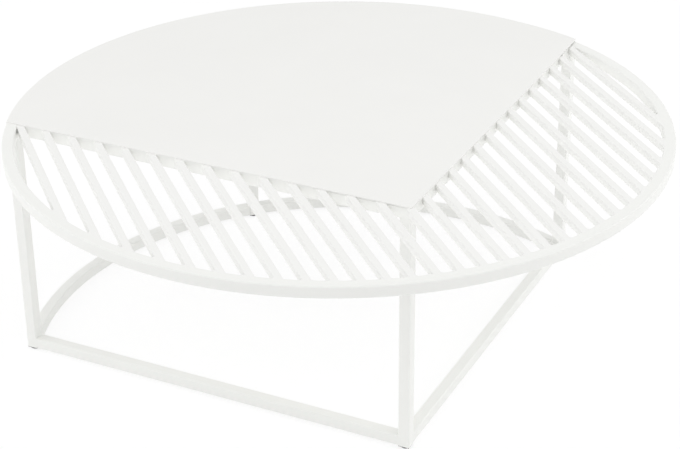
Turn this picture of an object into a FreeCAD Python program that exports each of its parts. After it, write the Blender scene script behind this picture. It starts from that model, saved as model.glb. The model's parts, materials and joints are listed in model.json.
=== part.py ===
import FreeCAD, Part
import math
import os
from FreeCAD import Placement, Rotation, Vector

# Low round garden table, welded from square tube, with a sheet top whose corner opens into a slatted front.
# The table stands on the XY plane, Z is up, and the origin is on the floor below the middle of the top.
# X = 0 is its plane of symmetry, and the corner of the sheet points to -Y.
# The straight bars and three of the legs lie at 45 degrees to that plane. They are laid out in a skew frame,
# where the bars of the left-hand side run along Y, and are then turned into place.

# Driving dimensions, in millimetres
RING_RADIUS = 450.0       # outside of the top ring and of the base arcs
TABLE_HEIGHT = 360.0      # floor to the upper face of the sheet
SHEET_THICKNESS = 2.0
SHEET_LIP = 0.5           # how far the sheet reaches past the outer faces of the cross bars
SHEET_EDGE = 0.5          # bevel of the sheet's upper edges
BAR_OFFSET = 194.0        # table's middle to the outer face of each straight bar
TUBE_SIDE = 16.0          # square tube of the frame
TUBE_WALL = 1.5
TUBE_BEVEL = 1.3          # takes as much off each corner as a rounding of 2 mm
SLAT_SIDE = 10.0          # square tube of the slats
SLAT_WALL = 1.0
SLAT_BEVEL = 0.7
SLAT_PITCH = 29.15
SLATS_PER_SIDE = 14       # left and right of the slat on the plane of symmetry
ARC_STOP = 4.0            # how far short of a side leg's middle the outer wall of the base arc stops
GLIDE_HEIGHT = 3.5        # the part of a glide that stands below its leg
GLIDE_DIAMETER = 14.0
GLIDE_EDGE = 1.2          # bevel of the glide's rim
GLIDE_FLANGE = 1.0        # thickness of the square plate that closes the end of the leg
GLIDE_FLANGE_SIDE = 15.0
GLIDE_CORE = 7.0          # square plug inside the leg
GLIDE_PLUG = 14.0         # length of that plug
GLIDE_FINS = 3
GLIDE_FIN = 1.2           # thickness of each square fin on the plug
GLIDE_PLAY = 0.1          # between the fins and the walls of the leg

# Sizes that follow from them
FRAME_TOP = TABLE_HEIGHT - SHEET_THICKNESS
TOP_TUBE_MIDDLE = FRAME_TOP - TUBE_SIDE / 2
BASE_TUBE_MIDDLE = GLIDE_HEIGHT + TUBE_SIDE / 2
LEG_LENGTH = FRAME_TOP - TUBE_SIDE - GLIDE_HEIGHT
RING_INSIDE = RING_RADIUS - TUBE_SIDE
RING_MIDDLE = RING_RADIUS - TUBE_SIDE / 2
BAR_MIDDLE = BAR_OFFSET - TUBE_SIDE / 2
# The side legs stand on the middle line of the ring, at the ends of the bars.
SIDE_LEG_MIDDLE = math.sqrt(RING_MIDDLE ** 2 - BAR_MIDDLE ** 2)

# Where the legs stand: skew frame for the first three, table frame for the rear one
FRONT_LEG = Vector(-BAR_MIDDLE, -BAR_MIDDLE, GLIDE_HEIGHT)
LEFT_LEG = Vector(-BAR_MIDDLE, SIDE_LEG_MIDDLE, GLIDE_HEIGHT)
RIGHT_LEG = Vector(SIDE_LEG_MIDDLE, -BAR_MIDDLE, GLIDE_HEIGHT)
REAR_LEG = Vector(0, RING_MIDDLE, GLIDE_HEIGHT)

ORIGIN = Vector(0, 0, 0)
ACROSS = Vector(1, 0, 0)
AHEAD = Vector(0, 1, 0)
UP = Vector(0, 0, 1)


def turned(shape):
    """Skew frame to table frame."""
    return shape.rotated(ORIGIN, UP, 45)


def turned_over(shape, middle):
    """Left-hand piece to right-hand piece: each is symmetric about its middle height, so one form serves both."""
    return shape.rotated(UP * middle, AHEAD, 180)


def tube_outline(side, bevel):
    """Square face with bevelled corners, in the XY plane and centred on the origin."""
    half = side / 2
    flat = half - bevel
    points = []
    for quarter in range(4):
        turn = Rotation(UP, 90 * quarter)
        points.append(turn.multVec(Vector(half, -flat, 0)))
        points.append(turn.multVec(Vector(half, flat, 0)))
    return Part.Face(Part.makePolygon(points + points[:1]))


def hollowed(outline, bore):
    """The same face with a square hole."""
    hole = Part.makePlane(bore, bore, Vector(-bore / 2, -bore / 2, 0))
    return outline.cut(hole).Faces[0]


# The solid outline serves to cope the ends of the tubes that meet a frame tube.
FRAME_OUTLINE = tube_outline(TUBE_SIDE, TUBE_BEVEL)
FRAME_SECTION = hollowed(FRAME_OUTLINE, TUBE_SIDE - 2 * TUBE_WALL)
SLAT_SECTION = hollowed(tube_outline(SLAT_SIDE, SLAT_BEVEL), SLAT_SIDE - 2 * SLAT_WALL)


def straight_tube(section, start, length):
    """Tube of the given section that runs along +Y from the start point."""
    tube = section.extrude(UP * length)
    tube.Placement = Placement(start, Rotation(ACROSS, -90))
    return tube


def bent_tube(section, height, sweep):
    """Tube rolled to the ring's radius, from the rear of the table round to the left."""
    upright = section.copy()
    upright.Placement = Placement(Vector(0, RING_MIDDLE, height), Rotation(AHEAD, 90))
    return upright.revolve(ORIGIN, UP, sweep)


def left_half(shape):
    """What of a shape lies on the left of the plane of symmetry."""
    corner = Vector(-2 * RING_RADIUS, -2 * RING_RADIUS, 0)
    return shape.common(Part.makeBox(2 * RING_RADIUS, 4 * RING_RADIUS, TABLE_HEIGHT, corner)).Solids[0]


def post(section, foot):
    """Upright tube from the glide to the top frame, high enough to be coped to the bevels of that frame."""
    return section.extrude(UP * (LEG_LENGTH + TUBE_BEVEL)).translated(foot)


def square_block(side, bottom, height):
    """Block with a square section, upright on the Z axis."""
    return Part.makeBox(side, side, height, Vector(-side / 2, -side / 2, bottom))


def leg_block(foot):
    """Solid block in the place of a leg, to notch the tubes that meet it."""
    return square_block(TUBE_SIDE, 0, LEG_LENGTH).translated(foot)


def glide(foot):
    """Plastic foot with a finned plug, pressed into the open end of a leg."""
    pad = Part.makeCylinder(GLIDE_DIAMETER / 2, GLIDE_HEIGHT)
    lower_edge = [edge for edge in pad.Edges if edge.BoundBox.ZMax < GLIDE_EDGE]
    pad = pad.makeChamfer(GLIDE_EDGE, lower_edge)
    pieces = [
        square_block(GLIDE_FLANGE_SIDE, GLIDE_HEIGHT - GLIDE_FLANGE, GLIDE_FLANGE),
        square_block(GLIDE_CORE, GLIDE_HEIGHT, GLIDE_PLUG),
    ]
    fin_side = TUBE_SIDE - 2 * TUBE_WALL - 2 * GLIDE_PLAY
    for index in range(1, GLIDE_FINS + 1):
        fin_top = GLIDE_HEIGHT + GLIDE_PLUG * index / GLIDE_FINS
        pieces.append(square_block(fin_side, fin_top - GLIDE_FIN, GLIDE_FIN))
    whole = pad.multiFuse(pieces).removeSplitter()
    return whole.translated(Vector(foot.x, foot.y, 0))


def skew_quarter(offset, bottom, height):
    """Block behind the sheet's two straight edges, whose faces stand the given offset from the middle."""
    reach = 2 * RING_RADIUS
    return turned(Part.makeBox(reach, reach, height, Vector(-offset, -offset, bottom)))


def top_ring(section):
    return bent_tube(section, TOP_TUBE_MIDDLE, 360)


def top_sheet():
    """Round plate cut to a right angle in front, lying on the ring and on both cross bars."""
    disc = Part.makeCylinder(RING_RADIUS, SHEET_THICKNESS, UP * FRAME_TOP)
    sheet = disc.common(skew_quarter(BAR_OFFSET + SHEET_LIP, FRAME_TOP, SHEET_THICKNESS)).Solids[0]
    upper_edges = [edge for edge in sheet.Edges if edge.BoundBox.ZMin > FRAME_TOP + SHEET_EDGE]
    return sheet.makeChamfer(SHEET_EDGE, upper_edges)


def inside_of_ring(bottom, height):
    """Round block that fills the ring between two heights, up to its inner face and its inner bevels."""
    block = Part.makeCylinder(RING_MIDDLE, height, UP * bottom)
    return block.cut(top_ring(FRAME_OUTLINE)).Solids[0]


def left_cross_bar(section):
    """Bar below the sheet's left edge, mitred at the corner and coped to the inside of the ring."""
    start = Vector(-BAR_MIDDLE, -BAR_OFFSET - TUBE_SIDE, TOP_TUBE_MIDDLE)
    bar = turned(straight_tube(section, start, 2 * RING_RADIUS))
    return left_half(bar.common(inside_of_ring(FRAME_TOP - TUBE_SIDE, TUBE_SIDE)))


def slat_name(index):
    """Node name of a slat, counted from the plane of symmetry to the left (negative) or to the right."""
    if index == 0:
        return "slat_centre"
    side = "left" if index < 0 else "right"
    return f"slat_{side}_{abs(index):02d}"


def slats():
    """Slats by node name, each coped to the ring in front and cut to the cross bars behind."""
    bottom = FRAME_TOP - SLAT_SIDE
    room = inside_of_ring(bottom, SLAT_SIDE).cut(skew_quarter(BAR_OFFSET, bottom, SLAT_SIDE))
    middle = bottom + SLAT_SIDE / 2
    pieces = {}
    for index in range(-SLATS_PER_SIDE, SLATS_PER_SIDE + 1):
        start = Vector(index * SLAT_PITCH, -RING_RADIUS, middle)
        tube = straight_tube(SLAT_SECTION, start, 2 * RING_RADIUS)
        pieces[slat_name(index)] = tube.common(room).Solids[0]
    return pieces


def left_base_bar():
    """Straight bar on the floor side, between the front leg and the left leg, coped to the bevels of both."""
    start = Vector(-BAR_MIDDLE, TUBE_SIDE - BAR_OFFSET - TUBE_BEVEL, BASE_TUBE_MIDDLE)
    length = SIDE_LEG_MIDDLE - TUBE_SIDE / 2 + TUBE_BEVEL - start.y
    bar = straight_tube(FRAME_SECTION, start, length)
    for foot in (FRONT_LEG, LEFT_LEG):
        bar = bar.cut(post(FRAME_OUTLINE, foot))
    return left_half(turned(bar))


def left_base_arc():
    """Rolled tube from the side of the rear leg to the left leg, notched over that leg's corner."""
    leg_middle = Rotation(UP, 45).multVec(LEFT_LEG)
    sweep = math.degrees(math.atan2(-leg_middle.x, leg_middle.y) - ARC_STOP / RING_MIDDLE)
    arc = bent_tube(FRAME_SECTION, BASE_TUBE_MIDDLE, sweep)
    rear_gap = Part.makeBox(TUBE_SIDE, RING_RADIUS, TABLE_HEIGHT, Vector(-TUBE_SIDE / 2, TUBE_SIDE, 0))
    return arc.cut(rear_gap).cut(turned(leg_block(LEFT_LEG))).Solids[0]


def legs_and_glides():
    """Legs, coped to the underside of the top frame, and glides, by node name."""
    cross_bar = left_cross_bar(FRAME_OUTLINE)
    top_frame = [top_ring(FRAME_OUTLINE), cross_bar, turned_over(cross_bar, TOP_TUBE_MIDDLE)]
    posts = {"rear": post(FRAME_SECTION, REAR_LEG)}
    glides = {"rear": glide(REAR_LEG)}
    for side, foot in (("front", FRONT_LEG), ("left", LEFT_LEG), ("right", RIGHT_LEG)):
        posts[side] = turned(post(FRAME_SECTION, foot))
        glides[side] = turned(glide(foot))
    pieces = {f"leg_{side}": shape.cut(top_frame).Solids[0] for side, shape in posts.items()}
    pieces.update({f"glide_{side}": shape for side, shape in glides.items()})
    return pieces


def main():
    cross_bar = left_cross_bar(FRAME_SECTION)
    base_bar = left_base_bar()
    base_arc = left_base_arc()
    pieces = {
        "top_ring": top_ring(FRAME_SECTION),
        "top_sheet": top_sheet(),
        "cross_bar_left": cross_bar,
        "cross_bar_right": turned_over(cross_bar, TOP_TUBE_MIDDLE),
        "base_bar_left": base_bar,
        "base_bar_right": turned_over(base_bar, BASE_TUBE_MIDDLE),
        "base_arc_left": base_arc,
        "base_arc_right": turned_over(base_arc, BASE_TUBE_MIDDLE),
    }
    pieces.update(slats())
    pieces.update(legs_and_glides())
    os.makedirs("parts", exist_ok=True)
    for name, shape in pieces.items():
        shape.exportStep(f"parts/{name}.step")


main()
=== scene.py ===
"""Looks of a low round garden table: its finishes, sheet top and welds, the studio and the camera."""
import json
import math

import bmesh
import bpy
from mathutils import Matrix, Vector


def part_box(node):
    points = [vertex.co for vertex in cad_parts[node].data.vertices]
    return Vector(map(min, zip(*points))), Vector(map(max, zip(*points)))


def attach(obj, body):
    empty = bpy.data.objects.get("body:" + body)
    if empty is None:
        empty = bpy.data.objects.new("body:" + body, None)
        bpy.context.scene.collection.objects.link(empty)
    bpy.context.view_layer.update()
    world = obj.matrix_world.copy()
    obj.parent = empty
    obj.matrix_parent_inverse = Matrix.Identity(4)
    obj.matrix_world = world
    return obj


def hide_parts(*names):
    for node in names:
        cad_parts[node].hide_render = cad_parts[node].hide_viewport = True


# Camera, in metres and degrees
CAMERA_DISTANCE = 2.2207      # level distance to the table's middle
CAMERA_HEIGHT = 1.3719        # above the floor
CAMERA_AZIMUTH = -18.751      # where it stands round the table, 0 is towards -Y
CAMERA_HEADING = -18.765      # where it looks, 0 is along +Y
CAMERA_PITCH = 27.811         # downwards
CAMERA_ROLL = 0.539           # clockwise, seen from behind it
CAMERA_LENS = 95.505          # millimetres
SENSOR_WIDTH = 36.0           # millimetres
CAMERA_NEAR = 0.05            # it shows nothing closer

# Turns directions as the camera sees them (right, away, up) into the room's
FACING = Matrix.Rotation(math.radians(CAMERA_HEADING), 3, "Z")

# Powder coat: base colours, specular levels, range of roughness
TUBE_COLOUR = (0.900, 0.904, 0.880)
SLAT_COLOUR = (0.901, 0.901, 0.883)
SHEET_COLOUR = (0.896, 0.895, 0.875)
TUBE_GLOSS = 0.40
SHEET_GLOSS = 0.15
COAT_ROUGHNESS = (0.42, 0.50)
# Its clouds of tone: size in metres, layers of noise, share by which the colour drifts
CLOUD_SIZE = 0.12
CLOUD_LAYERS = 3
CLOUD_SPREAD = 0.006
# Its orange peel: size in metres, layers of noise, strength and depth of the bump
PEEL_SIZE = 0.0012
PEEL_LAYERS = 2
PEEL_STRENGTH = 0.12
PEEL_DEPTH = 0.0001

# Moulded plastic of the glides: base colour, range of roughness, then its grain in the same terms
GLIDE_COLOUR = (0.190, 0.190, 0.192)
GLIDE_ROUGHNESS = (0.5, 0.7)
GRAIN_SIZE = 0.0006
GRAIN_LAYERS = 4
GRAIN_SPREAD = 0.15
GRAIN_STRENGTH = 0.3
GRAIN_DEPTH = 0.0002

# Every noise
NOISE_ROUGHNESS = 0.55
NOISE_RANGE = (0.3, 0.7)      # most of its values lie between these

# Sizes of the solid model that the sheet and the welds follow, in metres
RING_INSIDE = 0.434
RING_OUTSIDE = 0.450
TUBE_SIDE = 0.016
TUBE_BEVEL = 0.0013
BAR_MIDDLE = 0.186            # table's middle to the middle of each straight bar
BAR_OUTSIDE = BAR_MIDDLE + TUBE_SIDE / 2   # to its outer face
BAR_INSIDE = BAR_MIDDLE - TUBE_SIDE / 2    # to its inner face
SIDE_LEG = 0.40096            # how far along those bars the side legs stand
FRAME_TOP = 0.358
BASE_TOP = 0.0195
SHEET_TOP = 0.360
SLATS_PER_SIDE = 14
SLAT_BEVEL = 0.0007
SLAT_BEVEL_TURN = math.radians(45)         # from the face beside it

# The bars are worked out with the left one along +Y and the right one along +X, then turned into place
SKEW = Matrix.Rotation(math.radians(45), 3, "Z")

# Sheet, in metres
SHEET_LIP = 0.0001            # how far it reaches past the outer faces of the cross bars
SHEET_OUTSIDE = BAR_OUTSIDE + SHEET_LIP    # table's middle to its straight edges
SHEET_EDGE = 0.0012           # radius of its upper edges
SHEET_INSETS = (0.008, 0.025, 0.060, 0.120, 0.200, 0.270)   # rows of vertices inside the outline
EDGE_STEPS = 60               # along each straight edge
ARC_STEPS = 180               # round the rear
ROUND_STEPS = 5               # over the upper edge
SHARP_ANGLE = 50              # degrees; where faces meet more sharply, the edge between them shows

# The sheet's right-hand tip stands a little off the ring, in metres
SHEET_TIP = Vector((math.sqrt(RING_OUTSIDE ** 2 - SHEET_OUTSIDE ** 2), -SHEET_OUTSIDE))
TIP_LIFT = 0.0022             # at the tip itself
TIP_LENGTH = 0.110            # how far from the tip the sheet lies flat again
TIP_BEAD = (0.300, 0.393)     # where a hidden bead holds it, along the right-hand cross bar
TIP_BEAD_REACH = 0.0026       # how far that bead runs onto the bar's top and down its inner face

# Beads below the sheet's straight edges: how far they run from the corner, on the left and on the right
LEFT_BEAD = (0.135, 0.582)
RIGHT_BEAD = (0.004, 0.535)
BEAD_STEPS = 24
# How far they run out below the sheet and down the bar, as shares of a fillet's run along its tubes
BEAD_OUT = 0.08
BEAD_DOWN = 1.4

# Weld fillets: width of the face, and how far it may run along either tube in a narrow corner, in metres
RING_WELD = (0.0036, 0.012)
BAR_WELD = (0.0022, 0.0005)
NARROW_CORNER = 80            # degrees; sharper corners count as narrow
WELD_FULLNESS = 0.65          # of the section: 0 runs smoothly into both tubes, 1 is flat
WELD_STEPS = 5
WELD_SUNK = 0.00004           # how deep a fillet's edges lie below the tubes' faces
WELD_ROOT = 0.0004            # how deep a hidden corner lies

# Bead dressed nearly flush across a slat's top, in metres
SEAM_WIDTH = 0.0044
SEAM_RISE = 0.00008
SEAM_SUNK = 0.00001           # how deep its edges lie below the top
SEAM_STEPS = 4

# Floor
FLOOR_SIZE = 14.0             # metres
FLOOR_COLOUR = (0.90, 0.90, 0.90, 1)
FLOOR_GLOW = 0.187            # light of the floor's own, as from a lit sweep
FLOOR_WHITE = 0.77            # share of white that the camera sees there; the rest shows the shadow
WHITE = (1, 1, 1, 1)

# Soft lights as seen from the camera: direction (right, away, up), level and sharpness
SOFT_LIGHTS = {
    "left_low": ((-1, 0, 0.15), 0.37, 4),
    "right_low": ((1, 0, 0.15), 0.12, 4),
    "left_high": ((-1, 0, 0.9), 0.99, 4),
    "right_high": ((1, 0, 0.9), 1.07, 4),
    "front_high": ((0, -1, 0.9), 0.68, 4),
    "front": ((0, -1, 0.5), 0.22, 8),
    "rear_low": ((0, 1, 0.1), 0.58, 6),
    "overhead": ((0, 0, 1), 0.38, 2),
}
# Soft boxes in the same directions: place, the point that it faces, side in metres and power in watts
SOFT_BOXES = {
    "soft_box_above": ((0.1, -0.5, 1.6), (0.1, -0.5, 0), 0.9, 1.2),
    "soft_box_left": ((-1.7, 0.1, 0.6), (0, 0, 0.3), 1.0, 2.4),
    "soft_box_right": ((1.7, 0.1, 0.6), (0, 0, 0.3), 1.0, 3.3),
}


class Nodes:
    """Short way to add shader nodes to one tree."""

    def __init__(self, tree):
        self.tree = tree
        tree.nodes.clear()

    def add(self, kind, inputs=None, **settings):
        """New node, whose inputs are plain values or other nodes' outputs."""
        node = self.tree.nodes.new(kind)
        for name, value in settings.items():
            setattr(node, name, value)
        for name, value in (inputs or {}).items():
            if isinstance(value, bpy.types.NodeSocket):
                self.tree.links.new(value, node.inputs[name])
            else:
                node.inputs[name].default_value = value
        return node

    def math(self, operation, first, second):
        """Result of one operation on two numbers."""
        return self.add("ShaderNodeMath", {0: first, 1: second}, operation=operation).outputs[0]

    def noise(self, where, size, layers):
        """Noise whose largest features have that size."""
        inputs = {"Vector": where, "Scale": 1 / size, "Detail": layers, "Roughness": NOISE_ROUGHNESS}
        return self.add("ShaderNodeTexNoise", inputs).outputs["Fac"]

    def spread(self, noise, low, high):
        """Noise stretched to run from low to high."""
        start, end = NOISE_RANGE
        inputs = {"Value": noise, "From Min": start, "From Max": end, "To Min": low, "To Max": high}
        return self.add("ShaderNodeMapRange", inputs).outputs["Result"]

    def shades(self, noise, colour, share):
        """Colour that drifts darker and lighter with the noise, by that share."""
        ramp = self.add("ShaderNodeValToRGB", {"Fac": noise})
        for stop, position, factor in zip(ramp.color_ramp.elements, NOISE_RANGE, (1 - share, 1 + share)):
            stop.position = position
            stop.color = [min(1.0, channel * factor) for channel in colour] + [1.0]
        return ramp.outputs["Color"]

    def bump(self, noise, strength, depth):
        """Normal of a surface that rises and falls with the noise."""
        inputs = {"Height": noise, "Strength": strength, "Distance": depth}
        return self.add("ShaderNodeBump", inputs).outputs["Normal"]


def new_material(name):
    """Empty material and its nodes."""
    material = bpy.data.materials.new(name)
    material.use_nodes = True
    return material, Nodes(material.node_tree)


def powder_coat(name, colour, gloss):
    """Satin powder coat: fine orange peel, faint clouds of tone."""
    material, nodes = new_material(name)
    where = nodes.add("ShaderNodeTexCoord").outputs["Object"]
    cloud = nodes.noise(where, CLOUD_SIZE, CLOUD_LAYERS)
    peel = nodes.noise(where, PEEL_SIZE, PEEL_LAYERS)
    coat = nodes.add("ShaderNodeBsdfPrincipled", {
        "Base Color": nodes.shades(cloud, colour, CLOUD_SPREAD),
        "Roughness": nodes.spread(peel, *COAT_ROUGHNESS),
        "Normal": nodes.bump(peel, PEEL_STRENGTH, PEEL_DEPTH),
        "Specular IOR Level": gloss,
    })
    nodes.add("ShaderNodeOutputMaterial", {"Surface": coat.outputs[0]})
    return material


def moulded_plastic(name, colour):
    """Dark plastic with a spark-eroded grain."""
    material, nodes = new_material(name)
    where = nodes.add("ShaderNodeTexCoord").outputs["Object"]
    grain = nodes.noise(where, GRAIN_SIZE, GRAIN_LAYERS)
    plastic = nodes.add("ShaderNodeBsdfPrincipled", {
        "Base Color": nodes.shades(grain, colour, GRAIN_SPREAD),
        "Roughness": nodes.spread(grain, *GLIDE_ROUGHNESS),
        "Normal": nodes.bump(grain, GRAIN_STRENGTH, GRAIN_DEPTH),
    })
    nodes.add("ShaderNodeOutputMaterial", {"Surface": plastic.outputs[0]})
    return material


def dress(frame):
    """Gives each node the finish of its slot in the record, and returns the finishes by slot."""
    finishes = {
        "tube_coat": powder_coat("tube_coat", TUBE_COLOUR, TUBE_GLOSS),
        "slat_coat": powder_coat("slat_coat", SLAT_COLOUR, TUBE_GLOSS),
        "sheet_coat": powder_coat("sheet_coat", SHEET_COLOUR, SHEET_GLOSS),
        "glide_plastic": moulded_plastic("glide_plastic", GLIDE_COLOUR),
    }
    for part in frame["record"]["subparts"]:
        for slot in frame["nodes"][part["node"]].material_slots:
            slot.material = finishes[part["material_slot"]]
    return finishes


def spaced(first, last, steps):
    """Evenly spaced numbers from the first to the last, both included."""
    return [first + (last - first) * step / steps for step in range(steps + 1)]


def loft(mesh, sections):
    """Closed form through a row of sections, all with the same number of points."""
    rows = [[mesh.verts.new(point) for point in section] for section in sections]
    for near, far in zip(rows, rows[1:]):
        for index in range(len(near)):
            mesh.faces.new((near[index - 1], near[index], far[index], far[index - 1]))
    mesh.faces.new(rows[0])
    mesh.faces.new(rows[-1])


def add_piece(name, slot, mesh, finishes):
    """Turns a mesh into a piece of the table with the finish of that slot."""
    bmesh.ops.recalc_face_normals(mesh, faces=mesh.faces)
    for face in mesh.faces:
        face.smooth = True
    data = bpy.data.meshes.new(name)
    mesh.to_mesh(data)
    mesh.free()
    data.set_sharp_from_angle(angle=math.radians(SHARP_ANGLE))
    data.materials.append(finishes[slot])
    piece = bpy.data.objects.new(name, data)
    bpy.context.scene.collection.objects.link(piece)
    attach(piece, "root")
    return piece


def sheet_outline(inset):
    """Plan of the sheet, moved inwards: from the corner along the left edge, round the rear and back."""
    offset = SHEET_OUTSIDE - inset
    radius = RING_OUTSIDE - inset
    end = math.sqrt(radius ** 2 - offset ** 2)
    left_end = math.atan2(end, -offset)
    right_end = math.atan2(-offset, end)
    points = [(-offset, y) for y in spaced(-offset, end, EDGE_STEPS)[:-1]]
    for angle in spaced(left_end, right_end, ARC_STEPS)[:-1]:
        points.append((radius * math.cos(angle), radius * math.sin(angle)))
    points += [(x, -offset) for x in spaced(end, -offset, EDGE_STEPS)[:-1]]
    return points


def sheet_lift(point):
    """How far the sheet stands off the frame at a point of its plan."""
    distance = (Vector(point) - SHEET_TIP).length
    return TIP_LIFT * max(1 - distance / TIP_LENGTH, 0)


def sheet_row(inset, height):
    """Points round the sheet at that inset and height, with the tip's lift."""
    return [SKEW @ Vector((*point, height + sheet_lift(point))) for point in sheet_outline(inset)]


def make_sheet(finishes):
    """Sheet top with rounded upper edges, whose right-hand tip has sprung up from the ring."""
    rows = [sheet_row(inset, FRAME_TOP) for inset in reversed(SHEET_INSETS)]
    rows.append(sheet_row(0, FRAME_TOP))
    for turn in spaced(0, math.pi / 2, ROUND_STEPS):
        inset = SHEET_EDGE * (1 - math.cos(turn))
        height = SHEET_TOP - SHEET_EDGE * (1 - math.sin(turn))
        rows.append(sheet_row(inset, height))
    rows += [sheet_row(inset, SHEET_TOP) for inset in SHEET_INSETS]
    mesh = bmesh.new()
    loft(mesh, rows)
    sheet = add_piece("sheet_top", "sheet_coat", mesh, finishes)
    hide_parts("top_sheet")


def add_fillet(mesh, path, weld):
    """Weld along a path of corner points, each with its directions along the two tubes that meet there."""
    width, narrow_run = weld
    sections = []
    for corner, first, second in path:
        angle = first.angle(second)
        run = width / 2 / math.sin(angle / 2)
        if angle < math.radians(NARROW_CORNER):
            run = min(run, narrow_run)
        start = corner + first * run - second * WELD_SUNK
        end = corner + second * run - first * WELD_SUNK
        middle = corner.lerp((start + end) / 2, WELD_FULLNESS)
        section = [corner - (first + second) * WELD_ROOT]
        for share in spaced(0, 1, WELD_STEPS):
            rest = 1 - share
            section.append(start * rest ** 2 + middle * 2 * share * rest + end * share ** 2)
        sections.append(section)
    loft(mesh, sections)


def slat_outline(name):
    """Points (x, z) of a slat's section and their outward directions: down one side, below, up the other."""
    low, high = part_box(name)
    middle = (low.x + high.x) / 2
    half = (high.x - low.x) / 2
    level = Vector((1, 0))
    slant = Vector((math.cos(SLAT_BEVEL_TURN / 2), -math.sin(SLAT_BEVEL_TURN / 2)))
    right = [
        (half - SLAT_BEVEL, low.z, Vector((-slant.y, -slant.x))),
        (half, low.z + SLAT_BEVEL, slant),
        (half, high.z - TUBE_BEVEL, level),
        (half, high.z - SLAT_BEVEL, level),
        (half - SLAT_BEVEL + WELD_SUNK, high.z - WELD_SUNK, level),
    ]
    left = [(-x, z, Vector((-out.x, out.y))) for x, z, out in reversed(right)]
    bottom = [(0, low.z, Vector((0, -1)))]
    return [(middle + x, z, out) for x, z, out in left + bottom + right]


def bevel_depth(z):
    """How far the bevelled upper corner of a frame tube stands back from its face at that height."""
    return max(z - FRAME_TOP + TUBE_BEVEL, 0)


def add_seam(mesh, low, high):
    """Flat bead over a slat's joint with the ring; low and high are the slat's corners."""
    joint = RING_INSIDE + TUBE_BEVEL
    sections = []
    for x in spaced(low.x + SLAT_BEVEL, high.x - SLAT_BEVEL, WELD_STEPS):
        y = -math.sqrt(joint ** 2 - x ** 2)
        half_width = SEAM_WIDTH / 2 * joint / -y
        section = [Vector((x, y, high.z - WELD_ROOT))]
        for share in spaced(-1, 1, SEAM_STEPS):
            rise = SEAM_RISE * (1 - share ** 2) - SEAM_SUNK
            section.append(Vector((x, y + share * half_width, high.z + rise)))
        sections.append(section)
    loft(mesh, sections)


def weld_slat_to_ring(mesh, name):
    """Fillet round a slat's front end, and a flat bead over the joint in its top."""
    path = []
    for x, z, out in slat_outline(name):
        radius = RING_INSIDE + bevel_depth(z)
        y = -math.sqrt(radius ** 2 - x ** 2)
        second = Vector((-y * out.x, x * out.x, radius * out.y)).normalized()
        path.append((Vector((x, y, z)), Vector((0, 1, 0)), second))
    add_fillet(mesh, path, RING_WELD)
    add_seam(mesh, *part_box(name))


def weld_slat_to_bar(mesh, name):
    """Fillet round a slat's rear end, where it meets a cross bar or, at the last slats, also the ring."""
    corner = BAR_OUTSIDE * math.sqrt(2)
    path = []
    for x, z, out in slat_outline(name):
        side = 1 if x > 0 else -1
        on_bar = abs(x) - corner + bevel_depth(z) * math.sqrt(2)
        on_ring = math.sqrt((RING_INSIDE + bevel_depth(z)) ** 2 - x ** 2)
        if on_bar < on_ring:
            along = Vector((1, side, 0)).normalized()
        else:
            along = Vector((on_ring, -x, 0)).normalized()
        second = (along * out.x + Vector((0, 0, out.y))).normalized()
        path.append((Vector((x, min(on_bar, on_ring), z)), Vector((0, -1, 0)), second))
    add_fillet(mesh, path, BAR_WELD)


def frame_joints():
    """Straight joints on the left: both ends, and the directions along the two tubes."""
    half = TUBE_SIDE / 2
    flat = half - TUBE_BEVEL
    under = FRAME_TOP - TUBE_SIDE
    outer = -BAR_MIDDLE - flat
    inner = flat - BAR_MIDDLE
    side_leg = SIDE_LEG - half
    ring_inner = RING_INSIDE + TUBE_BEVEL
    ring_outer = RING_OUTSIDE - TUBE_BEVEL
    right, left = (1, 0, 0), (-1, 0, 0)
    back, front = (0, 1, 0), (0, -1, 0)
    up, down = (0, 0, 1), (0, 0, -1)
    on_bars = [
        # Base bar at the front leg and at the side leg
        ((outer, -BAR_INSIDE, BASE_TOP), (inner, -BAR_INSIDE, BASE_TOP), back, up),
        ((outer, side_leg, BASE_TOP), (inner, side_leg, BASE_TOP), front, up),
        # Cross bar at the same legs
        ((outer, -BAR_INSIDE, under), (inner, -BAR_INSIDE, under), down, back),
        ((outer, side_leg, under), (inner, side_leg, under), down, front),
        # Ring at the side leg
        ((-BAR_INSIDE, SIDE_LEG - flat / 2, under), (-BAR_INSIDE, SIDE_LEG + flat, under), down, right),
    ]
    at_rear = [
        # Base arc and ring at the rear leg
        ((-half, ring_inner, BASE_TOP), (-half, ring_outer, BASE_TOP), left, up),
        ((-half, ring_inner, under), (-half, ring_outer, under), down, left),
    ]
    joints = [[SKEW @ Vector(item) for item in joint] for joint in on_bars]
    return joints + [[Vector(item) for item in joint] for joint in at_rear]


def add_sheet_beads(mesh):
    """Beads that close the groove between the sheet and the cross bars along most of its straight edges."""
    corner = Vector((-BAR_OUTSIDE, -BAR_OUTSIDE, FRAME_TOP))
    below = Vector((0, 0, -BEAD_DOWN))
    left = (LEFT_BEAD, Vector((0, 1, 0)), Vector((-1, 0, 0)))
    right = (RIGHT_BEAD, Vector((1, 0, 0)), Vector((0, -1, 0)))
    for (start, end), along, out in (left, right):
        outwards = SKEW @ out * BEAD_OUT
        path = []
        for distance in spaced(start, end, BEAD_STEPS):
            point = corner + along * distance
            point.z += sheet_lift(point.xy)
            path.append((SKEW @ point, outwards, below))
        add_fillet(mesh, path, BAR_WELD)


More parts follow.
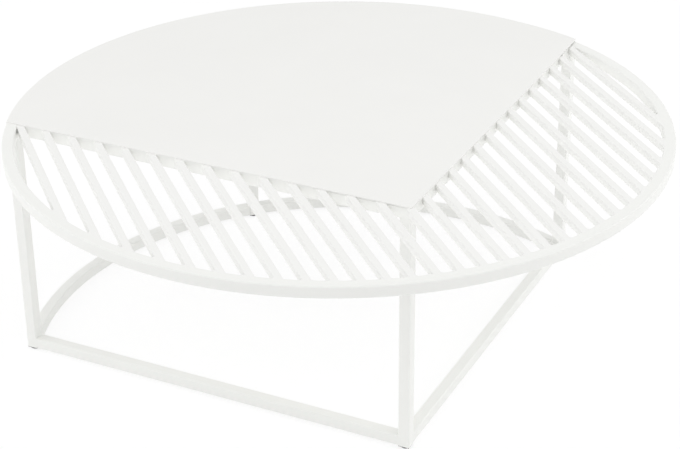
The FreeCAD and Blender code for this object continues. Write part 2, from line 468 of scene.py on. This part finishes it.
def add_tip_bead(mesh):
    """Hidden bead that holds the sprung tip of the sheet to the inner edge of the right-hand cross bar."""
    edge = -BAR_INSIDE
    on_bar = edge - TIP_BEAD_REACH
    sections = []
    for x in spaced(*TIP_BEAD, WELD_STEPS):
        top = FRAME_TOP + sheet_lift((x, edge)) + WELD_ROOT
        section = (
            (on_bar, FRAME_TOP - WELD_ROOT),
            (on_bar, top),
            (edge + TUBE_BEVEL, top),
            (edge - WELD_ROOT, FRAME_TOP - TIP_BEAD_REACH),
        )
        sections.append([SKEW @ Vector((x, y, z)) for y, z in section])
    loft(mesh, sections)


def make_welds(finishes):
    """Welds at both ends of every slat, on the frame where legs, bars and arcs meet, and below the sheet."""
    names = ["slat_centre"]
    for index in range(1, SLATS_PER_SIDE + 1):
        names += [f"slat_left_{index:02d}", f"slat_right_{index:02d}"]
    for piece, weld in (("welds_ring", weld_slat_to_ring), ("welds_cross_bars", weld_slat_to_bar)):
        mesh = bmesh.new()
        for name in names:
            weld(mesh, name)
        add_piece(piece, "slat_coat", mesh, finishes)
    mesh = bmesh.new()
    mirror = Matrix.Diagonal((-1, 1, 1))
    for joint in frame_joints():
        for start, end, first, second in (joint, [mirror @ item for item in joint]):
            add_fillet(mesh, [(start, first, second), (end, first, second)], BAR_WELD)
    add_sheet_beads(mesh)
    add_tip_bead(mesh)
    add_piece("welds_frame", "tube_coat", mesh, finishes)


def seen_directly(nodes):
    """1 for rays that show the background itself, 0 for rays that carry light to the table."""
    path = nodes.add("ShaderNodeLightPath").outputs
    shown = nodes.math("MAXIMUM", path["Is Camera Ray"], path["Is Glossy Ray"])
    return nodes.math("MAXIMUM", shown, path["Is Transmission Ray"])


def make_floor():
    """Lit white studio floor that still takes the table's shadow."""
    half = FLOOR_SIZE / 2
    corners = [(-half, -half, 0), (half, -half, 0), (half, half, 0), (-half, half, 0)]
    mesh = bpy.data.meshes.new("floor")
    mesh.from_pydata(corners, [], [(0, 1, 2, 3)])
    floor = bpy.data.objects.new("floor", mesh)
    bpy.context.scene.collection.objects.link(floor)
    material, nodes = new_material("studio_floor")
    paper = nodes.add("ShaderNodeBsdfDiffuse", {"Color": FLOOR_COLOUR})
    glow = nodes.add("ShaderNodeEmission", {"Color": WHITE, "Strength": FLOOR_GLOW})
    lit = nodes.add("ShaderNodeAddShader", {0: paper.outputs[0], 1: glow.outputs[0]})
    white = nodes.add("ShaderNodeEmission", {"Color": WHITE, "Strength": 1.0})
    share = nodes.math("MULTIPLY", seen_directly(nodes), FLOOR_WHITE)
    mixed = nodes.add("ShaderNodeMixShader", {0: share, 1: lit.outputs[0], 2: white.outputs[0]})
    nodes.add("ShaderNodeOutputMaterial", {"Surface": mixed.outputs[0]})
    mesh.materials.append(material)


def make_sky():
    """White background, and soft light on the table from above and all round."""
    world = bpy.data.worlds.new("studio")
    bpy.context.scene.world = world
    world.use_nodes = True
    nodes = Nodes(world.node_tree)
    direction = nodes.add("ShaderNodeTexCoord").outputs["Generated"]
    strength = 0.0
    for aim, level, sharpness in SOFT_LIGHTS.values():
        towards = {0: direction, 1: FACING @ Vector(aim).normalized()}
        cosine = nodes.add("ShaderNodeVectorMath", towards, operation="DOT_PRODUCT").outputs["Value"]
        lobe = nodes.math("POWER", nodes.math("MAXIMUM", cosine, 0.0), sharpness)
        strength = nodes.math("ADD", strength, nodes.math("MULTIPLY", lobe, level))
    light = nodes.add("ShaderNodeBackground", {"Color": WHITE, "Strength": strength})
    white = nodes.add("ShaderNodeBackground", {"Color": WHITE, "Strength": 1.0})
    shown = seen_directly(nodes)
    mixed = nodes.add("ShaderNodeMixShader", {0: shown, 1: light.outputs[0], 2: white.outputs[0]})
    nodes.add("ShaderNodeOutputWorld", {"Surface": mixed.outputs[0]})


def make_lamps():
    """Soft boxes above the table and on both sides of it."""
    for name, (place, target, size, power) in SOFT_BOXES.items():
        light = bpy.data.lights.new(name, "AREA")
        light.shape = "SQUARE"
        light.size = size
        light.energy = power
        lamp = bpy.data.objects.new(name, light)
        start = FACING @ Vector(place)
        aim = FACING @ Vector(target) - start
        lamp.matrix_world = Matrix.Translation(start) @ aim.to_track_quat("-Z", "Y").to_matrix().to_4x4()
        lamp.visible_camera = False
        bpy.context.scene.collection.objects.link(lamp)


def make_camera():
    """Camera where the photograph was taken from."""
    lens = bpy.data.cameras.new("camera")
    lens.sensor_fit = "HORIZONTAL"
    lens.sensor_width = SENSOR_WIDTH
    lens.lens = CAMERA_LENS
    lens.clip_start = CAMERA_NEAR
    camera = bpy.data.objects.new("camera", lens)
    bpy.context.scene.collection.objects.link(camera)
    azimuth = math.radians(CAMERA_AZIMUTH)
    place = Vector((math.sin(azimuth), -math.cos(azimuth), 0)) * CAMERA_DISTANCE
    place.z = CAMERA_HEIGHT
    camera.matrix_world = (
        Matrix.Translation(place)
        @ Matrix.Rotation(math.radians(CAMERA_HEADING), 4, "Z")
        @ Matrix.Rotation(math.radians(90 - CAMERA_PITCH), 4, "X")
        @ Matrix.Rotation(math.radians(-CAMERA_ROLL), 4, "Z")
    )
    bpy.context.scene.camera = camera


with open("model.json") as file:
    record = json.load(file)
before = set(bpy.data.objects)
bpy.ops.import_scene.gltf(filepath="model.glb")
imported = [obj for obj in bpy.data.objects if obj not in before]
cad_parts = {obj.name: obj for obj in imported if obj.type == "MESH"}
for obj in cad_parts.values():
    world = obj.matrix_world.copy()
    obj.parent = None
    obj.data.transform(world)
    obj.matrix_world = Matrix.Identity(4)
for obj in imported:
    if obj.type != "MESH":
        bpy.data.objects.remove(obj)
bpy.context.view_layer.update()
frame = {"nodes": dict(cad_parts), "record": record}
bpy.context.scene.view_settings.view_transform = "Standard"
finishes = dress(frame)
make_sheet(finishes)
make_welds(finishes)
make_floor()
make_sky()
make_lamps()
make_camera()
